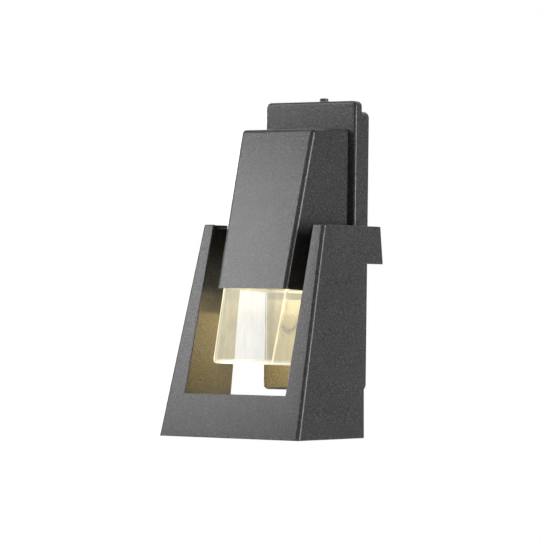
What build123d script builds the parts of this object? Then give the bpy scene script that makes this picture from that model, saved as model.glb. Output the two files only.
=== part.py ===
from build123d import *
from math import atan, degrees
import os

# Outdoor wall light: a wall box, a light body that hangs on it and a lock screw.
# Millimetres. The wall is the plane Y = 0, the front faces -Y, +Z is up.
# The origin is the centre of the wall box's back face.

os.makedirs("parts", exist_ok=True)

# Wall box
box_width = 101.6
box_height = 291.4
box_depth = 21.5
box_wall = 2.5
box_back = 3.5
box_corner = 7.0
slot_spacing = 88.9
slot_length = 12.0
slot_width = 5.0
cable_hole = 20.0
cable_bore = 10.0
grommet_flange = 26.0
grommet_lip = 2.0
wall_gasket_inset = 3.5
wall_gasket_width = 4.0
wall_gasket_depth = 1.5

# Cover plate
cover_width = 114.3
cover_over_top = 9.7
cover_depth = 11.0
cover_front = 3.0
cover_corner = 6.0
cover_edge = 2.8
cover_seat = 4.0
cover_gasket_thick = 1.5

# Hang rail and hooks
rail_height = 20.0
rail_top = 112.0
rail_sheet = 2.0
rail_standoff = 6.0
rail_web = 60.0
rail_foot = 14.0
hook_spacing = 36.0
hook_width = 12.0
hook_lip = 8.0
hook_foot = 14.0
hook_sheet = 2.0
hook_gap = 1.0
hook_boss = 9.0
hook_boss_height = 4.0

# Lock screw and its lug
lug_width = 28.0
lug_thick = 3.0
lug_margin = 1.2
lock_setback = 9.0
lock_thread = 5.0
lock_engage = 9.0
lock_head = 9.5
lock_head_height = 11.3
lock_head_edge = 0.9
lock_slot = 1.4
lock_flutes = 24
lock_flute = 0.7
lock_boss = 12.0

# Hood
hood_width = 97.0
hood_top = 126.6
hood_bottom = -45.5
hood_draft = 0.05
hood_wall = 2.5
hood_edge = 4.4
hood_corner = 4.8
hood_gasket_thick = 1.5
hood_gasket_inset = 0.4
hood_gasket_margin = 0.9
hood_proud = 2.4
hood_boss = 9.0
hood_boss_depth = 14.0
hood_boss_inset = 6.0
hood_rib = 5.0
hood_screw_margin = 0.5
hood_screw_top = 104.0
hood_screw_bottom = 10.0

# Shroud
shroud_reach = 175.0
shroud_top = 25.3
shroud_height = 217.4
shroud_width_top = 152.4
shroud_width_bottom = 174.8
shroud_sheet = 2.5
shroud_bend = 4.0
front_lean = 0.265
window_width = 124.5
window_sill = 44.1
tab_height = 39.0
tab_back = 11.4
tab_lean = 2.5
tab_corner = 3.0
panel_back_top = 47.0
panel_back_bottom = 56.7

# Wings between hood and shroud
wing_drop = 2.1
wing_sheet = 2.3
wing_flange = 16.0
wing_front_gap = 20.0
wing_screw_first = 56.0
wing_screw_pitch = 28.0

# Glass, light tray and light source
glass_back = 44.0
glass_wall = 2.4
glass_floor = 3.0
glass_bottom = -117.2
glass_taper = 0.017
glass_floor_fall = 0.026
glass_front_gap = 3.2
glass_corner = 4.5
tray_bottom = -10.0
tray_thick = 6.0
tray_fin = 2.0
tray_fin_height = 9.0
tray_fin_pitch = 9.0
tray_fin_count = 7
tray_fin_length = 30.0
tray_corner = 4.0
skirt_depth = 26.0
skirt_wall = 2.0
gasket_film = 0.8
gasket_pad = 1.0
gasket_reach = 20.0
tray_lug = 8.0
tray_lug_width = 10.0
tray_lug_thick = 5.0
tray_lug_first = 60.0
tray_lug_pitch = 40.0
board_size = 36.0
board_thick = 1.6
board_screw_edge = 4.0
chip_size = 22.0
chip_thick = 1.2
reflector_wall = 1.2
reflector_gap = 0.6

# Driver, leads and connectors
driver_width = 32.0
driver_height = 78.0
driver_depth = 18.0
driver_top = -56.0
driver_edge = 2.0
ear_width = 13.0
ear_height = 14.0
ear_thick = 5.0
cap_spacing = 46.0
cap_height_above = -76.5
cap_head = 18.0
cap_rise = 3.6
lead_width = 2.0
lead_pitch = 6.0
lead_height = 24.0
lead_bend = 8.0
lead_plane = 20.0
bushing_body = 13.0
bushing_flange = 17.0
bushing_lip = 1.5
connector_width = 16.0
connector_depth = 8.0
connector_height = 7.0
connector_gap = 5.5
supply_pitch = 20.0
supply_spread = 60.0
supply_step = 12.0
supply_rise = 20.0
supply_bend = 5.0
nut_width = 11.0
nut_top_width = 7.0
nut_height = 20.0
nut_grip = 5.0

# Screws
screw_thread = 4.0
screw_head = 7.6
screw_head_height = 2.4
small_thread = 3.0
small_head = 5.6
small_head_height = 1.8
thread_depth = 5.0
ground_head = 8.0
ground_head_height = 3.5
ground_slot = 1.2
ground_boss = 9.0
ground_boss_height = 4.0
ground_x = -30.0
ground_z = 40.0

# Clearances
seat_clear = 0.1
running_clear = 0.08
fit_clear = 0.3
hole_clear = 0.5
thread_clear = 0.05
glass_clear = 0.4

# Planes that the pieces share
box_z = box_height / 2
y_box_front = -box_depth
y_cover_back = y_box_front - cover_gasket_thick
y_cover_front = y_cover_back - cover_depth
y_cover_inner = y_cover_front + cover_front
y_hood_back = y_cover_front - hood_gasket_thick
y_rail_front = -box_back - rail_standoff - rail_sheet
y_hook_foot = y_cover_inner + hook_boss_height
cover_top = box_z + cover_over_top
lug_bottom = box_z + seat_clear
lug_top = lug_bottom + lug_thick
pocket_x = box_width / 2 - cover_seat
pocket_z = box_z - cover_seat
shroud_bottom = shroud_top - shroud_height
window_bottom = shroud_bottom + window_sill
lean_length = (1 + front_lean**2) ** 0.5
splay = (shroud_width_bottom - shroud_width_top) / 2 / shroud_height
splay_length = (1 + splay**2) ** 0.5
draft_turn = degrees(atan(hood_draft))
wing_top = shroud_top - wing_drop
wing_bottom = wing_top - wing_sheet
wing_screw_height = wing_bottom - (wing_flange - wing_sheet) / 2
tray_top = tray_bottom + tray_thick
glass_top = tray_bottom - gasket_pad
skirt_bottom = tray_bottom - skirt_depth
hook_screw_height = rail_top + hook_sheet + hook_foot / 2
through = screw_thread + hole_clear
tapped = screw_thread + 2 * thread_clear
small_tapped = small_thread + 2 * thread_clear
hood_screw_x = min(pocket_x - screw_head / 2 - hood_screw_margin, hood_width / 2 - hood_boss_inset)
board_screw_x = board_size / 2 - board_screw_edge

HEAD_BACK = Rot(-90, 0, 0)
HEAD_FRONT = Rot(90, 0, 0)
HEAD_INWARD = Rot(0, 0, -draft_turn) * Rot(0, -90, 0)
HEAD_DOWN = Rot(180, 0, 0)


def block(x0, x1, y0, y1, z0, z1):
    """Box given by the places of its faces."""
    size = Box(abs(x1 - x0), abs(y1 - y0), abs(z1 - z0))
    return Pos((x0 + x1) / 2, (y0 + y1) / 2, (z0 + z1) / 2) * size


def rod_y(x, z, y0, y1, diameter):
    """Round bar along Y."""
    return Pos(x, (y0 + y1) / 2, z) * Rot(90, 0, 0) * Cylinder(diameter / 2, abs(y1 - y0))


def rod_z(x, y, z0, z1, diameter):
    """Round bar along Z."""
    return Pos(x, y, (z0 + z1) / 2) * Cylinder(diameter / 2, abs(z1 - z0))


def plate_y(half_x, z0, z1, y0, y1, corner):
    """Upright plate between two Y planes, with rounded corners."""
    outline = Pos(0, (z0 + z1) / 2) * RectangleRounded(2 * half_x, z1 - z0, corner)
    return extrude(Plane.XZ.offset(-max(y0, y1)) * outline, abs(y1 - y0))


def ring_y(half_x, z0, z1, width, y0, y1, corner):
    """Rectangular ring between two Y planes."""
    inner_corner = max(corner - width, corner / 4)
    inner = plate_y(half_x - width, z0 + width, z1 - width, y0, y1, inner_corner)
    return plate_y(half_x, z0, z1, y0, y1, corner) - inner


def group(shapes):
    """Several like solids in one node."""
    return Compound(children=[solid for shape in shapes for solid in shape.solids()])


def screw(head, head_height, thread, length):
    """Cross-slot screw along Z: the head stands on Z = 0, the thread points down."""
    top = Pos(0, 0, head_height / 2) * Cylinder(head / 2, head_height)
    top = fillet(top.edges().sort_by(Axis.Z)[-1], head_height * 0.45)
    slot = Box(head * 0.52, head * 0.14, head_height)
    top -= Pos(0, 0, head_height) * (slot + Rot(0, 0, 90) * slot)
    return top + Pos(0, 0, -length / 2) * Cylinder(thread / 2, length)


def prism_x(points, half_x):
    """Outline in the YZ plane, extruded both ways along X."""
    profile = make_face(Polyline(*points, close=True))
    return extrude(Plane.YZ.offset(-half_x) * profile, 2 * half_x)


# Leaning and drafted surfaces
def shroud_front(z):
    """Outside of the shroud's front at a height."""
    return -shroud_reach + front_lean * (z - shroud_bottom)


def hood_front(z):
    """Outside of the hood's front at a height."""
    return shroud_front(z) - hood_proud


def panel_half(z):
    """Half width over the shroud's side panels at a height."""
    return shroud_width_top / 2 + splay * (shroud_top - z)


def panel_inner(z):
    """Half width between the shroud's side panels at a height."""
    return panel_half(z) - shroud_sheet * splay_length


def hood_half(y):
    """Half width over the hood's drafted sides at a depth."""
    return hood_width / 2 - hood_draft * (y_hood_back - y)


def in_front_of(front, setback):
    """Everything in front of a leaning plane that is moved back by a setback."""
    low, high, far = 2 * shroud_bottom, 2 * cover_top, -3 * shroud_reach
    points = [(front(low) + setback, low), (front(high) + setback, high), (far, high), (far, low)]
    return prism_x(points, shroud_width_bottom)


def under_glass_floor(rise):
    """Everything under the glass floor's sloping plane, moved up by a rise."""
    near, far = -2 * shroud_reach, shroud_reach
    front = hood_front(glass_bottom)
    level = [glass_bottom + rise - glass_floor_fall * (y - front) for y in (near, far)]
    low = 3 * shroud_bottom
    return prism_x([(near, level[0]), (far, level[1]), (far, low), (near, low)], shroud_width_bottom)


def shade_section(z, inset, corner):
    """Plan of the glass shade at a height, drawn in by an inset."""
    front = hood_front(z) + hood_wall * lean_length + glass_front_gap + inset * lean_length
    back = -glass_back - inset
    drawn_in = hood_wall + glass_clear + inset + glass_taper * (glass_top - z)
    half_front = hood_half(front) - drawn_in
    half_back = hood_half(back) - drawn_in
    points = [(-half_front, front), (half_front, front), (half_back, back), (-half_back, back)]
    face = make_face(Polyline(*points, close=True))
    return Pos(0, 0, z) * (fillet(face.vertices(), corner) if corner else face)


def shade_prism(low, high, inset, corner):
    """Leaning solid with the glass shade's plan."""
    return loft([shade_section(low, inset, corner), shade_section(high, inset, corner)])


light_y = (hood_front(tray_bottom) + hood_wall * lean_length + glass_front_gap - glass_back) / 2
connector_y = light_y + tray_fin_length / 2 + connector_gap + connector_depth / 2


# Places of fasteners
def hood_screw_places():
    return [(side * hood_screw_x, z) for z in (hood_screw_top, hood_screw_bottom) for side in (-1, 1)]


def rail_screw_places():
    x = rail_web / 2 + rail_sheet + (rail_foot - rail_sheet) / 2
    return [(side * x, rail_top - rail_height / 2) for side in (-1, 1)]


def hook_places():
    return [-hook_spacing / 2, hook_spacing / 2]


def cap_places():
    return [(-cap_spacing / 2, cap_height_above), (cap_spacing / 2, cap_height_above)]


def tray_lug_places():
    rows = [-tray_lug_first, -tray_lug_first - tray_lug_pitch]
    return [(side, y, hood_half(y) - hood_wall - tray_lug / 2) for y in rows for side in (-1, 1)]


def wing_screw_spots():
    """Seats of the right wing's screws on the hood's inner wall, head inwards."""
    rows = [-wing_screw_first, -wing_screw_first - wing_screw_pitch]
    return [Pos(hood_half(y) - hood_wall, y, wing_screw_height) * HEAD_INWARD for y in rows]


def both_sides(shape):
    """A piece on the right and its mirror image on the left."""
    return [shape, mirror(shape, about=Plane.YZ)]


# Wall box and what is fixed in it
def make_wall_box():
    body = plate_y(box_width / 2, -box_z, box_z, 0, y_box_front, box_corner)
    inner_corner = box_corner - box_wall
    body -= plate_y(box_width / 2 - box_wall, -box_z + box_wall, box_z - box_wall,
                    -box_back, y_box_front, inner_corner)
    slot = SlotOverall(slot_length, slot_width, rotation=90)
    for side in (-1, 1):
        body -= extrude(Plane.XZ * Pos(0, side * slot_spacing / 2) * slot, box_back)
    body -= rod_y(0, 0, 0, -box_back, cable_hole)
    groove_z = box_z - wall_gasket_inset
    body -= ring_y(box_width / 2 - wall_gasket_inset, -groove_z, groove_z, wall_gasket_width,
                   0, -wall_gasket_depth, inner_corner)
    ground_seat = -box_back - ground_boss_height
    body += rod_y(ground_x, ground_z, -box_back, ground_seat, ground_boss)
    body -= rod_y(ground_x, ground_z, -box_back, ground_seat, tapped)
    for x, z in rail_screw_places():
        body -= rod_y(x, z, -box_back / 3, -box_back, tapped)
    boss_low = box_z - lock_engage
    body += block(-lock_boss / 2, lock_boss / 2, -box_back, -lock_setback - lock_boss / 2,
                  boss_low, box_z - box_wall)
    return body - rod_z(0, -lock_setback, boss_low, box_z, lock_thread + 2 * running_clear)


def make_wall_gasket():
    inset = wall_gasket_inset + seat_clear
    return ring_y(box_width / 2 - inset, -box_z + inset, box_z - inset,
                  wall_gasket_width - 2 * seat_clear, 0, -wall_gasket_depth, box_corner - box_wall)


def make_cable_grommet():
    body = rod_y(0, 0, 0, -box_back, cable_hole - 2 * seat_clear)
    body += rod_y(0, 0, -box_back, -box_back - grommet_lip, grommet_flange)
    return body - rod_y(0, 0, 0, -box_back - grommet_lip, cable_bore)


def make_ground_screw():
    head = extrude(RegularPolygon(ground_head / 2, 6), ground_head_height)
    head -= Pos(0, 0, ground_head_height) * Box(2 * ground_head, ground_slot, ground_head_height)
    shank = Pos(0, 0, -ground_boss_height / 2) * Cylinder(screw_thread / 2, ground_boss_height)
    return Pos(ground_x, -box_back - ground_boss_height, ground_z) * HEAD_FRONT * (head + shank)


def make_hang_rail():
    foot, web, half, t = -box_back, -box_back - rail_standoff, rail_web / 2, rail_sheet
    end = half + rail_foot
    outline = Polyline(
        (-end, foot), (-half, foot), (-half, web), (half, web), (half, foot), (end, foot),
        (end, foot - t), (half + t, foot - t), (half + t, web - t),
        (-half - t, web - t), (-half - t, foot - t), (-end, foot - t), close=True)
    rail = Pos(0, 0, rail_top - rail_height) * extrude(make_face(outline), rail_height)
    for x, z in rail_screw_places():
        rail -= rod_y(x, z, foot, foot - t, through)
    return rail


def make_rail_screws():
    one = screw(screw_head, screw_head_height, screw_thread, rail_sheet + box_back / 2)
    seat = -box_back - rail_sheet
    return group(Pos(x, seat, z) * HEAD_FRONT * one for x, z in rail_screw_places())


# Cover plate and what is fixed to its back
def make_cover_plate():
    body = plate_y(cover_width / 2, -box_z, cover_top, y_cover_back, y_cover_front, cover_corner)
    body = fillet(body.faces().sort_by(Axis.Y)[0].edges(), cover_edge)
    body -= plate_y(pocket_x, -pocket_z, pocket_z, y_cover_back, y_cover_inner, cover_corner / 2)
    lug_end = -lock_setback + lock_head / 2 + lug_margin
    body += block(-lug_width / 2, lug_width / 2, y_cover_back, lug_end, lug_bottom, lug_top)
    body -= rod_z(0, -lock_setback, lug_bottom, lug_top, lock_thread + hole_clear)
    for x in hook_places():
        body += rod_y(x, hook_screw_height, y_cover_inner, y_hook_foot, hook_boss)
        body -= rod_y(x, hook_screw_height, y_cover_inner - cover_front / 2, y_hook_foot, tapped)
    for x, z in hood_screw_places() + cap_places():
        body -= rod_y(x, z, y_cover_inner, y_cover_front, through)
    return body - rod_y(0, lead_height, y_cover_inner, y_cover_front, bushing_body)


def make_cover_gasket():
    half_x, half_z = box_width / 2 - fit_clear, box_z - fit_clear
    return ring_y(half_x, -half_z, half_z, cover_seat - 2 * fit_clear,
                  y_cover_back, y_box_front - seat_clear, box_corner)


def make_hang_hooks():
    arm_low = rail_top + running_clear
    back = -box_back - rail_standoff + hook_gap
    t = hook_sheet
    outline = [(y_hook_foot, arm_low), (back, arm_low), (back, arm_low - hook_lip),
               (back + t, arm_low - hook_lip), (back + t, arm_low + t), (y_hook_foot + t, arm_low + t),
               (y_hook_foot + t, arm_low + t + hook_foot), (y_hook_foot, arm_low + t + hook_foot)]
    one = prism_x(outline, hook_width / 2)
    one -= rod_y(0, hook_screw_height, y_hook_foot, y_hook_foot + t, through)
    return group(Pos(x, 0, 0) * one for x in hook_places())


def make_hook_screws():
    one = screw(screw_head, screw_head_height, screw_thread, hook_sheet + thread_depth)
    seat = y_hook_foot + hook_sheet
    return group(Pos(x, seat, hook_screw_height) * HEAD_BACK * one for x in hook_places())


def make_lock_screw():
    seat = lug_top + running_clear
    top = seat + lock_head_height
    head = fillet(rod_z(0, 0, seat, top, lock_head).edges().sort_by(Axis.Z)[-1], lock_head_edge)
    for spot in PolarLocations(lock_head / 2, lock_flutes):
        head -= spot * rod_z(0, 0, seat, top, lock_flute)
    head -= block(-lock_head, lock_head, -lock_slot / 2, lock_slot / 2, top - 2 * lock_slot, top)
    shank = rod_z(0, 0, box_z - lock_engage, seat, lock_thread)
    return Pos(0, -lock_setback, 0) * (head + shank)


# Hood
def hood_section(y, inset, drop):
    """Hood's outline at a depth, drawn in by an inset, with its floor let down by a drop."""
    half = hood_half(y) - inset
    gain = hood_draft * (y_hood_back - y)
    low, high = hood_bottom + gain + inset - drop, hood_top - gain - inset
    face = make_face(Polyline((-half, low), (half, low), (half, high), (-half, high), close=True))
    corners = face.vertices().sort_by(Axis.Y)[-2:]
    return Plane.XZ.offset(-y) * fillet(corners, max(hood_corner - inset, hood_corner / 4))


def hood_wedge(y_back, inset, drop):
    """Drafted block of the hood, drawn in by an inset and cut by its leaning front."""
    far = -shroud_reach
    body = loft([hood_section(y_back, inset, drop), hood_section(far, inset, drop)])
    return body - in_front_of(hood_front, inset * lean_length)


def make_hood():
    body = hood_wedge(y_hood_back, 0, 0)
    front_edges = body.faces().sort_by(Axis.Y)[0].edges().sort_by(Axis.Z)
    body = fillet(front_edges[1:], hood_edge)
    mouth_back = -glass_back + glass_clear
    body -= hood_wedge(y_hood_back, hood_wall, 0)
    body -= hood_wedge(mouth_back, hood_wall, 4 * hood_wall)
    boss_end = y_hood_back - hood_boss_depth
    wall_x = hood_half(boss_end) - hood_wall / 2
    for x, z in hood_screw_places():
        body += rod_y(x, z, y_hood_back, boss_end, hood_boss)
        rib_end = wall_x if x > 0 else -wall_x
        body += block(x, rib_end, y_hood_back, boss_end, z - hood_rib / 2, z + hood_rib / 2)
        body -= rod_y(x, z, y_hood_back, boss_end + hood_wall, tapped)
    for side, y, x in tray_lug_places():
        wall_middle = hood_half(y) - hood_wall / 2
        lug = block(side * (x - tray_lug / 2), side * wall_middle, y - tray_lug_width / 2,
                    y + tray_lug_width / 2, tray_top, tray_top + tray_lug_thick)
        body += lug
        body -= rod_z(side * x, y, tray_top, tray_top + tray_lug_thick, through)
    for spot in wing_screw_spots():
        hole = spot * Cylinder(through / 2, 4 * hood_wall)
        body -= hole
        body -= mirror(hole, about=Plane.YZ)
    return body


def make_hood_gasket():
    half = hood_width / 2 - hood_gasket_inset
    width = half - hood_screw_x + hood_boss / 2 + hood_gasket_margin
    ring = ring_y(half, hood_bottom + hood_gasket_inset, hood_top - hood_gasket_inset,
                  width, y_cover_front, y_hood_back, hood_corner)
    for x, z in hood_screw_places():
        ring -= rod_y(x, z, y_cover_front, y_hood_back, through)
    return ring


def make_hood_screws():
    reach = cover_front + hood_gasket_thick + thread_depth
    one = screw(screw_head, screw_head_height, screw_thread, reach)
    return group(Pos(x, y_cover_inner, z) * HEAD_BACK * one for x, z in hood_screw_places())


# Light source, its tray and the glass
def make_led_tray():
    body = shade_prism(tray_bottom, tray_top, 0, tray_corner)
    skirt = glass_wall + gasket_film
    body += shade_prism(skirt_bottom, tray_bottom, skirt, tray_corner / 2)
    body -= shade_prism(skirt_bottom, tray_bottom, skirt + skirt_wall, tray_corner / 2)
    for k in range(tray_fin_count):
        x = (k - (tray_fin_count - 1) / 2) * tray_fin_pitch
        body += block(x - tray_fin / 2, x + tray_fin / 2, light_y - tray_fin_length / 2,
                      light_y + tray_fin_length / 2, tray_top, tray_top + tray_fin_height)
    for side, y, x in tray_lug_places():
        body -= rod_z(side * x, y, tray_top - thread_depth, tray_top, small_tapped)
    for side in (-1, 1):
        body -= rod_z(side * board_screw_x, light_y, tray_bottom, tray_bottom + thread_depth, small_tapped)
    return body


def make_tray_screws():
    one = screw(small_head, small_head_height, small_thread, tray_lug_thick + thread_depth)
    seat = tray_top + tray_lug_thick
    return group(Pos(side * x, y, seat) * one for side, y, x in tray_lug_places())


def make_led_board():
    board = rod_z(0, light_y, tray_bottom - board_thick, tray_bottom, board_size)
    for side in (-1, 1):
        board -= rod_z(side * board_screw_x, light_y, tray_bottom - board_thick, tray_bottom,
                       small_thread + hole_clear)
    return board


def make_board_screws():
    one = screw(small_head, small_head_height, small_thread, board_thick + thread_depth)
    seat = tray_bottom - board_thick
    return group(Pos(side * board_screw_x, light_y, seat) * HEAD_DOWN * one for side in (-1, 1))


def make_led_chip():
    top = tray_bottom - board_thick
    chip = rod_z(0, light_y, top - chip_thick, top, chip_size)
    return fillet(chip.edges().sort_by(Axis.Z)[0], chip_thick / 2)


def make_reflector():
    low = skirt_bottom + skirt_wall
    inset = glass_wall + gasket_film + skirt_wall + fit_clear

    mouth = board_size + 2 * (reflector_gap + reflector_wall)

    def funnel(shrink):
        top = RectangleRounded(mouth - 2 * shrink, mouth - 2 * shrink, tray_corner / 2)
        bottom = shade_section(low, inset + shrink, tray_corner / 2)
        return loft([bottom, Pos(0, light_y, tray_bottom) * top])

    return funnel(0) - funnel(reflector_wall)


def make_glass_shade():
    low = 2 * glass_bottom
    outer = shade_prism(low, glass_top, 0, 0) - under_glass_floor(0)
    rim = outer.faces().sort_by(Axis.Z)[-1].edges()
    outer = fillet([edge for edge in outer.edges() if edge not in rim], glass_corner)
    inner = shade_prism(low, glass_top, glass_wall, tray_corner / 2) - under_glass_floor(glass_floor)
    return outer - inner


def make_glass_gasket():
    sleeve_low = tray_bottom - gasket_reach
    skirt = glass_wall + gasket_film
    pad = shade_prism(glass_top, tray_bottom, 0, glass_corner)
    sleeve = shade_prism(sleeve_low, glass_top, glass_wall, tray_corner / 2)
    return pad + sleeve - shade_prism(sleeve_low, tray_bottom, skirt, tray_corner / 2)


# Shroud and the wings that carry it
def shroud_section(z, inset, back):
    """Plan of the shroud at a height, drawn in by its sheet, open towards the back."""
    half = panel_half(z) - inset * splay_length
    front = shroud_front(z) + inset * lean_length
    points = [(-half, front), (half, front), (half, back), (-half, back)]
    face = make_face(Polyline(*points, close=True))
    corners = face.vertices().sort_by(Axis.Y)[:2]
    return Pos(0, 0, z) * fillet(corners, max(shroud_bend - inset, shroud_bend / 4))


def make_shroud():
    body = loft([shroud_section(z, 0, 0) for z in (shroud_bottom, shroud_top)])
    past = shroud_sheet
    heights = (shroud_bottom - past, shroud_top + past)
    body -= loft([shroud_section(z, shroud_sheet, past) for z in heights])
    body -= block(-window_width / 2, window_width / 2, -2 * shroud_reach, 0,
                  window_bottom, 2 * cover_top)
    tab_low = shroud_top - tab_height
    back_slope = (panel_back_bottom - panel_back_top) / (tab_low - shroud_bottom)
    low = shroud_bottom - past
    back_low = -panel_back_bottom - back_slope * past
    points = [(-tab_back - tab_lean, shroud_top + past), (-tab_back, tab_low), (-panel_back_top, tab_low),
              (back_low, low), (past, low), (past, shroud_top + past)]
    outline = make_face(Polyline(*points, close=True))
    inner_corner = outline.vertices().sort_by_distance((-panel_back_top, tab_low, 0))[0]
    outline = fillet(inner_corner, tab_corner)
    behind = extrude(Plane.YZ.offset(-shroud_width_bottom) * outline, 2 * shroud_width_bottom)
    return body - behind


def make_right_wing():
    front = shroud_front(wing_top) + shroud_sheet * lean_length + wing_front_gap
    back = y_hood_back
    t = wing_sheet
    low = wing_top - wing_flange
    near, far = hood_half(front), hood_half(back)
    edge = panel_inner(wing_top)
    shelf = make_face(Polyline((near, front), (edge, front), (edge, back), (far, back), close=True))
    wing = Pos(0, 0, wing_bottom) * extrude(shelf, t)
    inner = Polyline((near, front), (near + t, front), (far + t, back), (far, back), close=True)
    wing += Pos(0, 0, low) * extrude(make_face(inner), wing_flange)
    outer = Polyline((edge - t, wing_top), (edge, wing_top), (panel_inner(low), low),
                     (panel_inner(low) - t, low), close=True)
    wing += extrude(Plane.XZ.offset(-back) * make_face(outer), back - front)
    for spot in wing_screw_spots():
        wing -= spot * Pos(0, 0, -2 * hood_wall) * Cylinder(tapped / 2, 4 * hood_wall)
    return wing


def make_wing_screws():
    one = screw(screw_head, screw_head_height, screw_thread, hood_wall + wing_sheet)
    return group(piece for spot in wing_screw_spots() for piece in both_sides(spot * one))


# Driver and wiring
def make_led_driver():
    half = driver_width / 2
    low = driver_top - driver_height
    case = block(-half, half, y_cover_inner, y_cover_inner + driver_depth, low, driver_top)
    case = fillet(case.edges().filter_by(Axis.Z), driver_edge)
    for side, (x, z) in zip((-1, 1), cap_places()):
        case += block(side * (half - driver_edge), side * (half + ear_width), y_cover_inner,
                      y_cover_inner + ear_thick, z - ear_height / 2, z + ear_height / 2)
        case -= rod_y(x, z, y_cover_inner, y_cover_inner + ear_thick, tapped)
    return case


def make_driver_screws():
    head = Pos(0, 0, cap_rise / 2) * Cylinder(cap_head / 2, cap_rise)
    head = fillet(head.edges().sort_by(Axis.Z)[-1], cap_rise * 0.6)
    reach = cover_front + ear_thick
    one = head + Pos(0, 0, -reach / 2) * Cylinder(screw_thread / 2, reach)
    return group(Pos(x, y_cover_front, z) * HEAD_FRONT * one for x, z in cap_places())


def wire(points, bend):
    """Insulated wire along straight runs joined by arcs."""
    path = FilletPolyline(*points, radius=bend)
    start = Plane(origin=path @ 0, z_dir=path % 0)
    return sweep(start * Circle(lead_width / 2), path)


def make_led_leads():
    end = tray_top + connector_height
    leads = []
    for side in (-1, 1):
        x = side * lead_pitch / 2
        route = [(x, -lead_plane, driver_top), (x, -lead_plane, lead_height),
                 (x, connector_y, lead_height), (x, connector_y, end)]
        leads.append(wire(route, lead_bend))
    return group(leads)


def make_lead_bushing():
    body = rod_y(0, lead_height, y_cover_inner, y_cover_front, bushing_body - 2 * seat_clear)
    back, front = y_cover_inner + bushing_lip, y_cover_front - bushing_lip
    body += rod_y(0, lead_height, back, y_cover_inner, bushing_flange)
    body += rod_y(0, lead_height, y_cover_front, front, bushing_flange)
    for side in (-1, 1):
        body -= rod_y(side * lead_pitch / 2, lead_height, back, front, lead_width + 2 * seat_clear)
    return body


def make_led_connector():
    half = connector_width / 2
    body = block(-half, half, connector_y - connector_depth / 2, connector_y + connector_depth / 2,
                 tray_top, tray_top + connector_height)
    return fillet(body.edges().filter_by(Axis.Z), connector_depth / 8)


def make_supply_leads():
    leads = []
    for side in (-1, 1):
        near, far = side * supply_pitch / 2, side * supply_spread / 2
        turn = driver_top + supply_step
        route = [(near, -lead_plane, driver_top), (near, -lead_plane, turn),
                 (far, -lead_plane, turn), (far, -lead_plane, turn + supply_rise)]
        leads.append(wire(route, supply_bend))
    return group(leads)


def make_wire_connectors():
    low = driver_top + supply_step + supply_rise - nut_grip
    cone = Pos(0, 0, nut_height / 2) * Cone(nut_width / 2, nut_top_width / 2, nut_height)
    cone = fillet(cone.edges().sort_by(Axis.Z)[-1], nut_top_width / 8)
    cone -= rod_z(0, 0, 0, nut_grip, lead_width + 2 * seat_clear)
    x = supply_spread / 2
    return group(Pos(side * x, -lead_plane, low) * cone for side in (-1, 1))


right_wing = make_right_wing()

nodes = {
    "wall_box": make_wall_box(),
    "wall_gasket": make_wall_gasket(),
    "cable_grommet": make_cable_grommet(),
    "ground_screw": make_ground_screw(),
    "hang_rail": make_hang_rail(),
    "rail_screws": make_rail_screws(),
    "cover_plate": make_cover_plate(),
    "cover_gasket": make_cover_gasket(),
    "hang_hooks": make_hang_hooks(),
    "hook_screws": make_hook_screws(),
    "lock_screw": make_lock_screw(),
    "hood": make_hood(),
    "hood_gasket": make_hood_gasket(),
    "hood_screws": make_hood_screws(),
    "led_tray": make_led_tray(),
    "tray_screws": make_tray_screws(),
    "led_board": make_led_board(),
    "board_screws": make_board_screws(),
    "led_chip": make_led_chip(),
    "reflector": make_reflector(),
    "glass_shade": make_glass_shade(),
    "glass_gasket": make_glass_gasket(),
    "shroud": make_shroud(),
    "right_wing": right_wing,
    "left_wing": mirror(right_wing, about=Plane.YZ),
    "wing_screws": make_wing_screws(),
    "led_driver": make_led_driver(),
    "driver_screws": make_driver_screws(),
    "led_leads": make_led_leads(),
    "lead_bushing": make_lead_bushing(),
    "led_connector": make_led_connector(),
    "supply_leads": make_supply_leads(),
    "wire_connectors": make_wire_connectors(),
}

for name, shape in nodes.items():
    export_step(shape, f"parts/{name}.step")
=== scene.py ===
import math

import bmesh
import bpy
import numpy as np
from bpy.props import FloatProperty, FloatVectorProperty, IntProperty, PointerProperty
from bpy.types import Operator, Panel, PropertyGroup
from mathutils import Matrix, Vector


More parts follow.
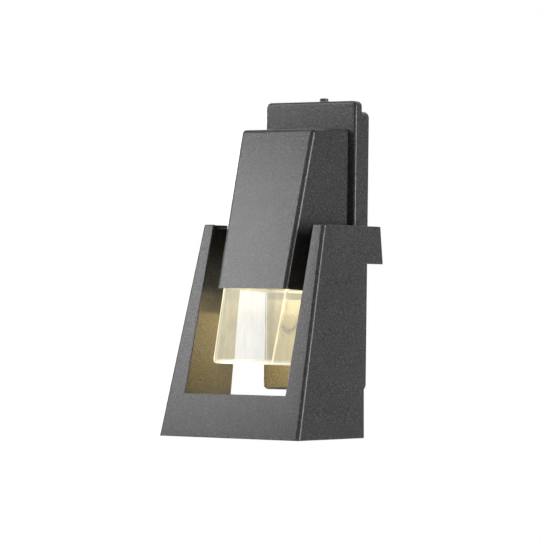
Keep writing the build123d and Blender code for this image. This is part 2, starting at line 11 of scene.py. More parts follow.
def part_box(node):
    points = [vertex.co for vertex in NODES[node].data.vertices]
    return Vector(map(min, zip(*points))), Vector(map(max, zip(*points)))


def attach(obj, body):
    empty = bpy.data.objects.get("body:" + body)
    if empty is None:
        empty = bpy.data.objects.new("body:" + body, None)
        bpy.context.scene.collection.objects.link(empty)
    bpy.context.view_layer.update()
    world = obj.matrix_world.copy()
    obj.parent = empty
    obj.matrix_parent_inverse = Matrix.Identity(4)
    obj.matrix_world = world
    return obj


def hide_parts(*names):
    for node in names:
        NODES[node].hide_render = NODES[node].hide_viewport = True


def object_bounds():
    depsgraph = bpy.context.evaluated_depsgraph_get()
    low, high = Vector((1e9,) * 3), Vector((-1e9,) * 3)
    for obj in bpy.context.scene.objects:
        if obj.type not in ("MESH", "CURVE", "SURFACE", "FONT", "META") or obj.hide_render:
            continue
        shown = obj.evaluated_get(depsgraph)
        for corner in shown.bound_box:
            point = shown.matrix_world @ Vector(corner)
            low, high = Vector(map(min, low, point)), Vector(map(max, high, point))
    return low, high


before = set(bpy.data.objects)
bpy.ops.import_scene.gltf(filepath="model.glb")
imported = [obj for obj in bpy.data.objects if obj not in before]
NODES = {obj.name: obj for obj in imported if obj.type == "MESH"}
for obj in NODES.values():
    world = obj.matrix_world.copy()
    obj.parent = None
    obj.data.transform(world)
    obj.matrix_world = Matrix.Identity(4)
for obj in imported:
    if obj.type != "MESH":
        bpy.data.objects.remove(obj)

bl_info = {
    "name": "Outdoor wall light",
    "version": (1, 0, 0),
    "blender": (4, 5, 0),
    "location": "View3D > Sidebar > Wall Light",
    "description": "Dresses the packed parts of an outdoor wall light and sets its stage",
    "category": "Object",
}

CAD_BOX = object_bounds()
MM = 0.001


def length(name, description, default):
    """A length in metres for a property group."""
    return FloatProperty(name=name, description=description, default=default, min=0.0, unit="LENGTH", precision=5)


def share(name, description, default):
    """A share from 0 to 1 for a property group."""
    return FloatProperty(name=name, description=description, default=default, min=0.0, max=1.0, subtype="FACTOR")


def colour(name, description, default):
    """A linear colour for a property group."""
    return FloatVectorProperty(name=name, description=description, default=default, size=3, min=0.0, max=1.0,
                               subtype="COLOR")


def amount(name, description, default):
    """A plain number for a property group."""
    return FloatProperty(name=name, description=description, default=default, min=0.0)


class CoatFinish(PropertyGroup):
    """Textured powder coat of the castings and the sheet pieces."""

    base: colour("Coat", "Colour of the powder coat", (0.06, 0.06, 0.0605))
    fleck: colour("Fleck", "Colour of the pale flecks in the coat", (0.145, 0.145, 0.146))
    roughness: share("Roughness", "Roughness of the coat", 0.155)
    gloss: share("Gloss", "Gloss of the coat on the castings", 0.5)
    sheet_gloss: share("Sheet gloss", "Gloss of the coat on the sheet pieces", 0.395)
    grain: length("Grain", "Width of the coat's sand grain", 1.4 * MM)
    relief: length("Relief", "Height of the coat's sand grain", 0.2 * MM)
    edge: length("Edge", "Radius on the cut edges of the sheet pieces", 0.9 * MM)


class GlassFinish(PropertyGroup):
    """Clear glass shade, with painted glow on its walls and edges."""

    tint: colour("Tint", "Colour of the glass", (0.71, 0.727, 0.775))
    # Painted glow: the glass is no lamp, but these settings give its walls and edges emission that stands in for the
    # light scattered in the glass and for highlights along its edges.
    glow: colour("Glow", "Colour of the light that the glass carries", (1.0, 0.92, 0.65))
    veil: amount("Veil", "Light that the walls of the glass give off", 0.162)
    painted_right_veil: share("Right veil", "Share of that light that the right wall gives off", 0.62)
    painted_left_veil: share("Left veil", "Share of that light that the left wall gives off", 0.6)
    painted_foot_glow: share("Foot glow", "Share of the edges' light that the edge around the floor gives off", 0.4)
    painted_top_glow: amount("Top glow", "Light that the walls give off just under the hood", 0.04)
    edge_glow: amount("Edge glow", "Light that the rounded edges of the glass give off", 0.6)
    corner: length("Corner", "Radius of the outer corners", 4.5 * MM)
    wall: length("Wall", "Thickness of the walls", 2.4 * MM)
    floor: length("Floor", "Thickness of the floor", 3.0 * MM)
    arc_steps: IntProperty(name="Arc steps", description="Steps around each rounded corner", default=12, min=2)


class LampFinish(PropertyGroup):
    """Light source."""

    light: colour("Light", "Colour of the light", (1.0, 0.73, 0.26))
    power: amount("Power", "Light that leaves the source, in watts", 0.58)
    wash: amount("Wash", "Light that the lens throws back onto the cover plate, in watts", 0.17)
    shine: amount("Shine", "Brightness of the emitting disc itself", 30.0)
    emitter: length("Emitter", "Radius of the emitting disc", 2.5 * MM)
    lens: length("Lens", "Height of the clear lens over the phosphor", 1.1 * MM)
    phosphor: colour("Phosphor", "Colour of the phosphor around the emitter", (0.9, 0.62, 0.12))


class FixingFinish(PropertyGroup):
    """Screws and their threads."""

    pitch: length("Pitch", "Pitch of the screw threads", 0.7 * MM)
    thread: length("Thread", "Depth of the screw threads", 0.35 * MM)
    facets: IntProperty(name="Facets", description="Steps around each screw", default=32, min=8)
    ribs: IntProperty(name="Ribs", description="Ribs around the head of the lock screw", default=24, min=6)
    rib: length("Rib", "Radius of each rib", 0.45 * MM)
    head_edge: length("Head edge", "Rounding on the head of the lock screw", 0.9 * MM)
    slot: length("Slot", "Width of the slot in the head of the lock screw", 1.4 * MM)
    slot_turn: FloatProperty(name="Slot turn", description="Angle at which the slot came to rest, in degrees",
                             default=35.0)


class StageSetup(PropertyGroup):
    """Floor, lamps and camera."""

    floor: colour("Floor", "Colour of the floor", (0.62, 0.62, 0.61))
    floor_lift: amount("Floor lift", "Brightness that the eye sees on the floor beside its light", 0.45)
    floor_drop: length("Floor drop", "Height of the light's lowest edge above the floor", 0.24)
    floor_radius: length("Floor radius", "Radius of the floor", 1.3)
    world: amount("World", "Strength of the soft light from all around", 0.025)
    front: amount("Front", "Brightness that gloss sees in front of the light", 0.03)
    backdrop: amount("Backdrop", "Brightness that gloss sees behind the light", 0.75)
    key: amount("Key", "Power of the soft box at the front left, in watts", 3.9)
    fill: amount("Fill", "Power of the low soft box at the front left, in watts", 2.2)
    top: amount("Top", "Power of the large lamp above the front, in watts", 11.0)
    side: amount("Side", "Power of the soft box at the right, in watts", 13.2)
    rim: amount("Rim", "Power of the soft box behind the left side, in watts", 18.0)
    lens: amount("Lens", "Focal length of the camera in millimetres", 228.09)


def settings():
    """The scene's property groups."""
    return bpy.context.scene.wall_light


class WallLight(PropertyGroup):
    """All settings of the wall light."""

    coat: PointerProperty(type=CoatFinish)
    glass: PointerProperty(type=GlassFinish)
    lamp: PointerProperty(type=LampFinish)
    fixing: PointerProperty(type=FixingFinish)
    stage: PointerProperty(type=StageSetup)


# Materials
class Shader:
    """A node material that is being wired."""

    def __init__(self, name):
        self.material = bpy.data.materials.get(name) or bpy.data.materials.new(name)
        self.material.use_nodes = True
        self.tree = self.material.node_tree
        self.tree.nodes.clear()
        self.output = self.add("ShaderNodeOutputMaterial")
        self.surface = self.add("ShaderNodeBsdfPrincipled")
        self.link(self.surface, "BSDF", self.output, "Surface")

    def add(self, kind, values=None, **settings_of_node):
        node = self.tree.nodes.new(kind)
        for key, value in settings_of_node.items():
            setattr(node, key, value)
        for key, value in (values or {}).items():
            node.inputs[key].default_value = value
        return node

    def link(self, source, out, target, socket):
        self.tree.links.new(source.outputs[out], target.inputs[socket])

    def coordinates(self, stretch=(1.0, 1.0, 1.0)):
        place = self.add("ShaderNodeTexCoord")
        mapping = self.add("ShaderNodeMapping", {"Scale": stretch})
        self.link(place, "Object", mapping, "Vector")
        return mapping

    def noise(self, where, scale, detail=2.0, roughness=0.5):
        node = self.add("ShaderNodeTexNoise", {"Scale": scale, "Detail": detail, "Roughness": roughness})
        self.link(where, "Vector", node, "Vector")
        return node

    def ramp(self, source, out, stops):
        node = self.add("ShaderNodeValToRGB")
        elements = node.color_ramp.elements
        while len(elements) < len(stops):
            elements.new(0.5)
        for element, (at, value) in zip(elements, stops):
            element.position = at
            element.color = value if len(value) == 4 else (*value, 1.0)
        self.link(source, out, node, "Fac")
        return node

    def bump(self, source, out, strength, distance, before=None):
        node = self.add("ShaderNodeBump", {"Strength": strength, "Distance": distance})
        self.link(source, out, node, "Height")
        if before:
            self.link(before, "Normal", node, "Normal")
        return node


def grey(value):
    """A grey stop for a ramp."""
    return (value, value, value)


def blend(a, b, t):
    """A colour between two."""
    return tuple(x + (y - x) * t for x, y in zip(a, b))


FINE_GRAIN = 2.6
COAT_CLOUDS = 14.0
DRAWN_GRAIN = 420.0
METAL_CLOUDS = 60.0
MOULDED_CLOUDS = 45.0
DRAWN_RELIEF = 0.05 * MM


def coat_material(name, gloss):
    """Charcoal powder coat with a fine sand grain and pale flecks."""
    finish = settings().coat
    s = Shader(name)
    s.surface.inputs["Specular IOR Level"].default_value = gloss
    where = s.coordinates()
    grain = s.noise(where, 1.0 / finish.grain, 2.0, 0.55)
    fine = s.noise(where, FINE_GRAIN / finish.grain, 1.0, 0.5)
    cloud = s.noise(where, COAT_CLOUDS, 3.0, 0.55)
    base, fleck = tuple(finish.base), tuple(finish.fleck)
    shade = s.ramp(grain, "Fac", [(0.30, blend(base, grey(0.0), 0.34)), (0.47, base),
                                  (0.60, blend(base, fleck, 0.35)), (0.74, fleck)])
    mottle = s.ramp(cloud, "Fac", [(0.3, grey(0.93)), (0.7, grey(1.07))])
    mix = s.add("ShaderNodeMix", {"Factor": 1.0}, data_type="RGBA", blend_type="MULTIPLY")
    s.tree.links.new(shade.outputs["Color"], mix.inputs[6])
    s.tree.links.new(mottle.outputs["Color"], mix.inputs[7])
    s.tree.links.new(mix.outputs[2], s.surface.inputs["Base Color"])
    rough = s.ramp(fine, "Fac", [(0.25, grey(finish.roughness - 0.07)), (0.75, grey(finish.roughness + 0.09))])
    s.link(rough, "Color", s.surface, "Roughness")
    coarse = s.bump(grain, "Fac", 0.8, finish.relief)
    relief = s.bump(fine, "Fac", 0.5, finish.relief * 0.4, coarse)
    s.link(relief, "Normal", s.surface, "Normal")
    return s.material


def metal_material(name, base, roughness, scratch=(1.0, 1.0, 12.0)):
    """Bare or plated metal with a drawn grain."""
    s = Shader(name)
    where = s.coordinates(scratch)
    drawn = s.noise(where, DRAWN_GRAIN, 3.0, 0.6)
    cloud = s.noise(s.coordinates(), METAL_CLOUDS, 2.0, 0.5)
    tone = s.ramp(cloud, "Fac", [(0.3, blend(base, grey(0.0), 0.15)), (0.7, base)])
    s.link(tone, "Color", s.surface, "Base Color")
    rough = s.ramp(drawn, "Fac", [(0.3, grey(roughness - 0.08)), (0.7, grey(roughness + 0.1))])
    s.link(rough, "Color", s.surface, "Roughness")
    s.surface.inputs["Metallic"].default_value = 1.0
    relief = s.bump(drawn, "Fac", 0.25, DRAWN_RELIEF)
    s.link(relief, "Normal", s.surface, "Normal")
    return s.material


def plain_material(name, base, roughness, grain=0.8 * MM, relief=0.04 * MM, specular=0.5):
    """Moulded plastic, rubber or paint with a faint grain."""
    s = Shader(name)
    where = s.coordinates()
    fine = s.noise(where, 1.0 / grain, 2.0, 0.5)
    cloud = s.noise(where, MOULDED_CLOUDS, 2.0, 0.5)
    tone = s.ramp(cloud, "Fac", [(0.3, blend(base, grey(0.0), 0.1)), (0.7, blend(base, grey(1.0), 0.03))])
    s.link(tone, "Color", s.surface, "Base Color")
    rough = s.ramp(fine, "Fac", [(0.3, grey(max(roughness - 0.06, 0.0))), (0.7, grey(min(roughness + 0.08, 1.0)))])
    s.link(rough, "Color", s.surface, "Roughness")
    s.surface.inputs["Specular IOR Level"].default_value = specular
    relief_node = s.bump(fine, "Fac", 0.4, relief)
    s.link(relief_node, "Normal", s.surface, "Normal")
    return s.material


GLASS_STRETCH = (1.0, 1.0, 0.15)
GLASS_WAVES = 40.0
GLASS_STREAKS = 240.0
GLASS_ROUGHNESS = 0.02
GLASS_IOR = 1.45
GLASS_WAVE_HEIGHT = 0.5 * MM
# Painted glow: the heights just under the hood where the glass walls are given extra emission.
PAINTED_TOP_BAND = (-74 * MM, -50 * MM)
# Painted glow: from left to right across the shade, the stops where the walls' painted glow is thinned.
PAINTED_VEIL_HALF_WIDTH = 45 * MM
PAINTED_VEIL_STOPS = (0.09, 0.14, 0.59, 0.9)
EMITTER_EDGE = 0.3 * MM
PHOSPHOR_CELLS = 900.0
WASH_TURN = 37.0
WASH_SPREAD = 70.0


def glass_material():
    """Clear glass with painted glow: emission on its walls stands in for the warm light scattered in them, and
    emission along its rounded edges is a painted highlight.
    """
    finish = settings().glass
    s = Shader("clear_glass")
    where = s.coordinates(GLASS_STRETCH)
    wave = s.noise(where, GLASS_WAVES, 1.0, 0.5)
    streak = s.noise(where, GLASS_STREAKS, 2.0, 0.5)
    s.surface.inputs["Base Color"].default_value = (*finish.tint, 1.0)
    s.surface.inputs["Roughness"].default_value = GLASS_ROUGHNESS
    s.surface.inputs["IOR"].default_value = GLASS_IOR
    s.surface.inputs["Transmission Weight"].default_value = 1.0
    s.surface.inputs["Emission Color"].default_value = (*finish.glow, 1.0)
    # Painted highlight: emission along the rounded edges, weighted by the mesh's edge glow attribute.
    edge = s.add("ShaderNodeAttribute", attribute_name="edge_glow")
    # Painted glow over the walls, in random streaks, thinned on the left and right walls.
    veil = s.ramp(streak, "Fac", [(0.3, grey(finish.veil * 0.8)), (0.7, grey(finish.veil * 1.2))])
    gain = s.add("ShaderNodeMath", operation="MULTIPLY_ADD")
    gain.inputs[1].default_value = finish.edge_glow
    s.tree.links.new(edge.outputs["Fac"], gain.inputs[0])
    height = s.add("ShaderNodeSeparateXYZ")
    s.link(s.add("ShaderNodeTexCoord"), "Object", height, "Vector")
    # Painted glow in a band just under the hood.
    band = s.add("ShaderNodeMapRange", {"From Min": PAINTED_TOP_BAND[0], "From Max": PAINTED_TOP_BAND[1], "To Min": 0.0,
                                        "To Max": finish.painted_top_glow}, interpolation_type="SMOOTHSTEP")
    s.link(height, "Z", band, "Value")
    across = s.add("ShaderNodeMapRange", {"From Min": -PAINTED_VEIL_HALF_WIDTH, "From Max": PAINTED_VEIL_HALF_WIDTH})
    s.link(height, "X", across, "Value")
    shares = (finish.painted_left_veil, 1.0, 1.0, finish.painted_right_veil)
    side = s.ramp(across, "Result", [(at, grey(value)) for at, value in zip(PAINTED_VEIL_STOPS, shares)])
    thinned = s.add("ShaderNodeMath", operation="MULTIPLY")
    s.tree.links.new(veil.outputs["Color"], thinned.inputs[0])
    s.link(side, "Color", thinned, 1)
    s.tree.links.new(thinned.outputs["Value"], gain.inputs[2])
    total = s.add("ShaderNodeMath", operation="ADD")
    s.link(gain, "Value", total, 0)
    s.link(band, "Result", total, 1)
    s.link(total, "Value", s.surface, "Emission Strength")
    relief = s.bump(wave, "Fac", 0.03, GLASS_WAVE_HEIGHT)
    s.link(relief, "Normal", s.surface, "Normal")
    s.material.cycles.emission_sampling = "NONE"
    return s.material


def emitter_material(centre):
    """Light source: an emitting disc in a field of phosphor."""
    finish = settings().lamp
    s = Shader("led_phosphor")
    place = s.add("ShaderNodeTexCoord")
    offset = s.add("ShaderNodeVectorMath", operation="DISTANCE")
    offset.inputs[1].default_value = centre
    s.tree.links.new(place.outputs["Object"], offset.inputs[0])
    glow = s.add("ShaderNodeMapRange", {"From Min": finish.emitter, "From Max": finish.emitter + EMITTER_EDGE,
                                        "To Min": finish.shine, "To Max": 0.0})
    s.tree.links.new(offset.outputs["Value"], glow.inputs["Value"])
    s.link(glow, "Result", s.surface, "Emission Strength")
    s.surface.inputs["Emission Color"].default_value = (*finish.light, 1.0)
    cells = s.noise(s.coordinates(), PHOSPHOR_CELLS, 2.0, 0.5)
    tone = s.ramp(cells, "Fac", [(0.3, blend(finish.phosphor, grey(0.0), 0.15)), (0.7, tuple(finish.phosphor))])
    s.link(tone, "Color", s.surface, "Base Color")
    s.surface.inputs["Roughness"].default_value = 0.35
    s.material.cycles.emission_sampling = "NONE"
    return s.material


def make_source(name, centre, power, turn=0.0, spread=180.0):
    """A lamp at the light source, which rides with it; turned back, it washes the plate behind the glass."""
    finish = settings().lamp
    data = bpy.data.lights.new(name, "AREA")
    data.shape = "DISK"
    data.size = 2 * finish.emitter
    data.energy = power
    data.color = finish.light
    data.spread = math.radians(spread)
    lamp = bpy.data.objects.new(name, data)
    bpy.context.scene.collection.objects.link(lamp)
    lamp.visible_camera = False
    lamp.parent = NODES["led_chip"]
    lamp.location = (centre[0], centre[1], centre[2] - finish.lens)
    lamp.rotation_euler = (math.radians(turn), 0.0, 0.0)


def paint(node, material):
    """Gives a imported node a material."""
    slots = NODES[node].data.materials
    slots.clear()
    slots.append(material)


# Meshes
MERGE = 2e-6
FLAT_ANGLE = math.radians(0.2)
SHARP_ANGLE = math.radians(40.0)
SMOOTH_GLASS = 50.0
SMOOTH_SCREW = 30.0


def link_mesh(name, mesh):
    """An object at the origin for a mesh whose place is in its points."""
    made = bpy.data.objects.new(name, mesh)
    bpy.context.scene.collection.objects.link(made)
    return made


def smooth(mesh, angle=35.0):
    """Smooth shading with sharp edges past an angle."""
    if "custom_normal" in mesh.attributes:
        mesh.attributes.remove(mesh.attributes["custom_normal"])
    mesh.polygons.foreach_set("use_smooth", [True] * len(mesh.polygons))
    mesh.set_sharp_from_angle(angle=math.radians(angle))
    mesh.update()


def stands_for(piece, node, body):
    """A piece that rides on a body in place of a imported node."""
    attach(piece, body)
    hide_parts(node)


def keep_flats_flat(made):
    """Large flat faces keep their own normals beside their rounded edges."""
    weigh = made.modifiers.new("weigh", "WEIGHTED_NORMAL")
    weigh.mode = "FACE_AREA"
    weigh.keep_sharp = True
    evaluated = made.evaluated_get(bpy.context.evaluated_depsgraph_get())
    mesh = bpy.data.meshes.new_from_object(evaluated)
    made.modifiers.remove(weigh)
    mesh.name = made.data.name
    made.data = mesh


def eased_copy(node, name, edge, body, material, steps=3):
    """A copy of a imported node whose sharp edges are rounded, which stands for it."""
    bm = bmesh.new()
    bm.from_mesh(NODES[node].data)
    bmesh.ops.remove_doubles(bm, verts=bm.verts, dist=MERGE)
    bmesh.ops.dissolve_limit(bm, angle_limit=FLAT_ANGLE, verts=bm.verts, edges=bm.edges)
    sharp = [e for e in bm.edges if len(e.link_faces) == 2 and e.calc_face_angle() > SHARP_ANGLE]
    bmesh.ops.bevel(bm, geom=sharp, offset=edge, segments=steps, profile=0.5, affect="EDGES", clamp_overlap=True)
    bmesh.ops.triangulate(bm, faces=[f for f in bm.faces if len(f.verts) > 4])
    mesh = bpy.data.meshes.new(name)
    bm.to_mesh(mesh)
    bm.free()
    smooth(mesh)
    mesh.materials.clear()
    mesh.materials.append(material)
    made = link_mesh(name, mesh)
    keep_flats_flat(made)
    stands_for(made, node, body)


# Glass shade
HOOD_BACK = -35.5 * MM
HOOD_HALF = 48.5 * MM
HOOD_DRAFT = 0.05
HOOD_WALL = 2.5 * MM
FRONT_LEAN = 0.265
SHROUD_REACH = 175.0 * MM
SHROUD_BOTTOM = -192.1 * MM
HOOD_PROUD = 2.4 * MM
GLASS_TAPER = 0.017
GLASS_FALL = 0.026
GLASS_BOTTOM = -117.2 * MM
GLASS_FRONT_GAP = 3.2 * MM
GLASS_CLEAR = 0.4 * MM
LEAN_LENGTH = math.hypot(1.0, FRONT_LEAN)
GLASS_INNER_CORNER = 3.0 * MM
GLASS_INNER_FOOT = 2.0 * MM
FOOT_SHARPNESS = 3
LEAST_RADIUS = 0.15 * MM
GLASS_MIDDLE = -80.0 * MM
SETTLING_ROUNDS = 4
WALL_LEVELS = (0.25, 0.5, 0.75)
# Painted highlight lines: for each side of a ring, the strength and sharpness of the emission painted along its
# rounded corners.
OUTER_PAINTED_LINES = ((1.0, 1.5), (0.8, 16), (0.1, 8), (0.1, 8))
INNER_PAINTED_LINES = ((0.0, 8), (0.25, 40), (0.05, 8), (0.0, 8))


def hood_front(z):
    """Outside of the hood's leaning front at a height."""
    return -SHROUD_REACH + FRONT_LEAN * (z - SHROUD_BOTTOM) - HOOD_PROUD


def glass_corners(z, inset, top, back):
    """Plan corners of the glass at a height, drawn in by an inset."""
    front = hood_front(z) + HOOD_WALL * LEAN_LENGTH + GLASS_FRONT_GAP + inset * LEAN_LENGTH
    rear = back - inset
    drawn = HOOD_WALL + GLASS_CLEAR + inset + GLASS_TAPER * (top - z)

    def half(y):
        return HOOD_HALF - HOOD_DRAFT * (HOOD_BACK - y) - drawn

    return [Vector((-half(front), front)), Vector((half(front), front)),
            Vector((half(rear), rear)), Vector((-half(rear), rear))]


def rounded_outline(corners, radius, steps):
    """Points of a polygon with rounded corners, each with its place in its arc from 0 to 1."""
    points = []
    count = len(corners)
    for k in range(count):
        here, before, after = corners[k], corners[k - 1], corners[(k + 1) % count]
        a, b = (before - here).normalized(), (after - here).normalized()
        half_angle = a.angle(b) / 2
        reach = radius / math.tan(half_angle)
        centre = here + (a + b).normalized() * (radius / math.sin(half_angle))
        start, end = here + a * reach - centre, here + b * reach - centre
        turn = start.angle_signed(end)
        for step in range(steps + 1):
            t = step / steps
            spin = Matrix.Rotation(-turn * t, 2)
            points.append((centre + spin @ start, t))
    return points


def glass_ring(level, inset, radius, finish, top, back, painted_lines=OUTER_PAINTED_LINES):
    """One ring of the glass; the height of each point comes from a rule of its depth, and each point carries a weight
    of painted highlight for its rounded corner.
    """
    ring = []
    count = len(painted_lines) * (finish.arc_steps + 1)
    for k in range(count):
        z = level(GLASS_MIDDLE)
        for _ in range(SETTLING_ROUNDS):
            point, t = rounded_outline(glass_corners(z, inset, top, back), radius, finish.arc_steps)[k]
            z = level(point.y)
        # Painted highlight: each point's glow weight peaks halfway round its corner's arc.
        shine, sharpness = painted_lines[k // (finish.arc_steps + 1)]
        ring.append((Vector((point.x, point.y, z)), shine * math.sin(math.pi * t) ** sharpness))
    return ring


def glass_mesh(name):
    """The glass shade as one closed shell, with the painted glow of its edges as an attribute."""
    finish = settings().glass
    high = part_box("glass_shade")[1]
    top, back = high.z, high.y
    front_bottom = hood_front(GLASS_BOTTOM)

    def floor(rise):
        return lambda y: GLASS_BOTTOM + rise - GLASS_FALL * (y - front_bottom)

    corner = finish.corner
    inner_corner, foot = GLASS_INNER_CORNER, GLASS_INNER_FOOT
    outer, inner = [], []
    outer.append((glass_ring(lambda y: top, 0.0, corner, finish, top, back), 0.0))
    foot_start = floor(corner)
    for part in WALL_LEVELS:
        level = (lambda y, p=part: top + (foot_start(y) - top) * p)
        outer.append((glass_ring(level, 0.0, corner, finish, top, back), 0.0))
    for step in range(finish.arc_steps + 1):
        t = 0.5 * math.pi * step / finish.arc_steps
        inset = corner * (1 - math.cos(t))
        rise = corner * (1 - math.sin(t))
        radius = max(corner * math.cos(t), LEAST_RADIUS)
        # Painted highlight along the rounded edge around the floor.
        painted_foot_shine = finish.painted_foot_glow * math.sin(2 * t) ** FOOT_SHARPNESS
        outer.append((glass_ring(floor(rise), inset, radius, finish, top, back), painted_foot_shine))
    inner.append((glass_ring(lambda y: top, finish.wall, inner_corner, finish, top, back, INNER_PAINTED_LINES), 0.0))
    for step in range(finish.arc_steps + 1):
        t = 0.5 * math.pi * step / finish.arc_steps
        inset = finish.wall + foot * (1 - math.cos(t))
        rise = finish.floor + foot * (1 - math.sin(t))
        radius = inner_corner - foot * (1 - math.cos(t))
        inner.append((glass_ring(floor(rise), inset, radius, finish, top, back, INNER_PAINTED_LINES), 0.0))
    bm = bmesh.new()
    painted_glow_weights = []

    def lay(rings):
        laid = []
        for ring, edge in rings:
            row = []
            for point, arc in ring:
                row.append(bm.verts.new(point))
                painted_glow_weights.append(max(arc, edge))
            laid.append(row)
        return laid

    outer_rows, inner_rows = lay(outer), lay(inner)

    def skin(rows):
        for a, b in zip(rows, rows[1:]):
            for k in range(len(a)):
                j = (k + 1) % len(a)
                bm.faces.new((a[k], a[j], b[j], b[k]))
        bm.faces.new(rows[-1])

    skin(outer_rows)
    skin(inner_rows)
    for k in range(len(outer_rows[0])):
        j = (k + 1) % len(outer_rows[0])
        bm.faces.new((outer_rows[0][k], outer_rows[0][j], inner_rows[0][j], inner_rows[0][k]))
    bmesh.ops.recalc_face_normals(bm, faces=bm.faces)
    mesh = bpy.data.meshes.new(name)
    bm.to_mesh(mesh)
    bm.free()
    # Painted highlight: the edge glow weights are kept as a point attribute for the glass material.
    glow = mesh.attributes.new("edge_glow", "FLOAT", "POINT")
    glow.data.foreach_set("value", painted_glow_weights)
    smooth(mesh, SMOOTH_GLASS)
    return mesh


# Geometry nodes
class Tree:
    """A geometry node tree that is being wired."""

    def __init__(self, name):
        self.group = bpy.data.node_groups.new(name, "GeometryNodeTree")
        self.group.interface.new_socket("Geometry", in_out="INPUT", socket_type="NodeSocketGeometry")
        self.group.interface.new_socket("Geometry", in_out="OUTPUT", socket_type="NodeSocketGeometry")
        self.source = self.add("NodeGroupInput")
        self.values = {}

    def add(self, kind, values=None, **settings_of_node):
        node = self.group.nodes.new(kind)
        for key, value in settings_of_node.items():
            setattr(node, key, value)
        for key, value in (values or {}).items():
            node.inputs[key].default_value = value
        return node

    def take(self, name, kind, value):
        """A named input of the tree, with the value that its modifier gets."""
        socket = self.group.interface.new_socket(name, in_out="INPUT", socket_type=kind)
        self.values[socket.identifier] = value
        return self.source.outputs[name]

    def wire(self, output, node, socket):
        self.group.links.new(output, node.inputs[socket])

    def box(self, sizes, middle):
        """A block with its three sizes and its height from inputs of the tree."""
        size = self.add("ShaderNodeCombineXYZ")
        for axis, output in zip("XYZ", sizes):
            self.wire(output, size, axis)
        block = self.add("GeometryNodeMeshCube")
        self.wire(size.outputs[0], block, "Size")
        place = self.add("ShaderNodeCombineXYZ")
        self.wire(middle, place, "Z")
        moved = self.add("GeometryNodeTransform")
        self.wire(block.outputs["Mesh"], moved, "Geometry")
        self.wire(place.outputs[0], moved, "Translation")
        return moved

    def turned(self, geometry, degrees):
        """Geometry turned about Z."""
        node = self.add("GeometryNodeTransform", {"Rotation": (0.0, 0.0, math.radians(degrees))})
        self.wire(geometry.outputs["Geometry"], node, "Geometry")
        return node

    def cut(self, geometry, *cutters):
        """Geometry with cutters taken out of it."""
        node = self.add("GeometryNodeMeshBoolean", operation="DIFFERENCE")
        self.wire(geometry, node, "Mesh 1")
        for cutter in cutters:
            self.wire(cutter.outputs["Geometry"], node, "Mesh 2")
        return node.outputs["Mesh"]

    def finish(self, name, start, material):
        """Runs the tree on a mesh and keeps its result as a plain mesh object."""
        last = self.group.nodes[-1]
        realize = self.add("GeometryNodeRealizeInstances")
        coat = self.add("GeometryNodeSetMaterial", {"Material": material})
        out = self.add("NodeGroupOutput")
        self.wire(last.outputs[0], realize, "Geometry")
        self.wire(realize.outputs[0], coat, "Geometry")
        self.wire(coat.outputs[0], out, "Geometry")
        carrier = link_mesh(name + "_carrier", start)
        modifier = carrier.modifiers.new("build", "NODES")
        modifier.node_group = self.group
        for identifier, value in self.values.items():
            modifier[identifier] = value
        evaluated = carrier.evaluated_get(bpy.context.evaluated_depsgraph_get())
        mesh = bpy.data.meshes.new_from_object(evaluated)
        mesh.name = name
        bpy.data.objects.remove(carrier)
        bpy.data.node_groups.remove(self.group)
        if not mesh.polygons:
            raise RuntimeError(name + " came out empty")
        smooth(mesh, SMOOTH_SCREW)
        return link_mesh(name, mesh)


# Fasteners
END_ZONE = 0.2
HEAD_SHARE = 0.9
SEAT_CLEAR = 0.2 * MM
SQUARE_ANGLE = math.radians(1.0)
CROSS_EDGE = 0.45
CAP_EDGE = 0.6
CROSS_LENGTH = 0.52
CROSS_WIDTH = 0.14
RIB_BITE = 0.4
RIB_FACETS = 10
TOP_CLEAR = 0.02 * MM
SLOT_REACH = 4


def turned_mesh(name, profile, steps):
    """A turned body from radii and heights along Z, from its foot to its top."""
    bm = bmesh.new()
    rows = []
    for radius, z in profile:
        count = steps if radius > 1e-7 else 1
        rows.append([bm.verts.new((radius * math.cos(2 * math.pi * k / count),
                                   radius * math.sin(2 * math.pi * k / count), z)) for k in range(count)])
    for a, b in zip(rows, rows[1:]):
        for k in range(steps):
            j = (k + 1) % steps
            corners = [a[k % len(a)], a[j % len(a)], b[j % len(b)], b[k % len(b)]]
            bm.faces.new(list(dict.fromkeys(corners)))
    bmesh.ops.recalc_face_normals(bm, faces=bm.faces)
    mesh = bpy.data.meshes.new(name)
    bm.to_mesh(mesh)
    bm.free()
    return mesh


class Fit:
    """Place and sizes of one turned solid, read from its faces and points."""

    def __init__(self, verts):
        points = np.array([vert.co[:] for vert in verts])
        faces = {face for vert in verts for face in vert.link_faces}
        normals = np.array([face.normal[:] for face in faces])
        areas = np.array([[face.calc_area()] for face in faces])
        spread, axes = np.linalg.eigh((normals * areas).T @ normals)
        axis = Vector(axes[:, 0] if spread[1] - spread[0] > spread[2] - spread[1] else axes[:, 2])
        square = Vector([round(value) for value in axis])
        if square.length == 1.0 and axis.angle(square) < SQUARE_ANGLE:
            axis = square
        across = axis.orthogonal().normalized()
        basis = np.array([across[:], axis.cross(across)[:], axis[:]])
        local = points @ basis.T
        middle = (local.min(axis=0) + local.max(axis=0)) / 2
        out = np.hypot(local[:, 0] - middle[0], local[:, 1] - middle[1])
        along = local[:, 2]
        zone = END_ZONE * (along.max() - along.min())
        if out[along > along.max() - zone].max() < out[along < along.min() + zone].max():
            axis, along = -axis, -along
        self.head = out.max()
        seat = along[out > HEAD_SHARE * self.head].min()
        self.rise = along.max() - seat
        self.shank = out[along < seat - SEAT_CLEAR].max()
        self.length = seat - along.min()
        self.axis = axis
        self.seat = Vector(basis[0] * middle[0] + basis[1] * middle[1]) + axis * seat


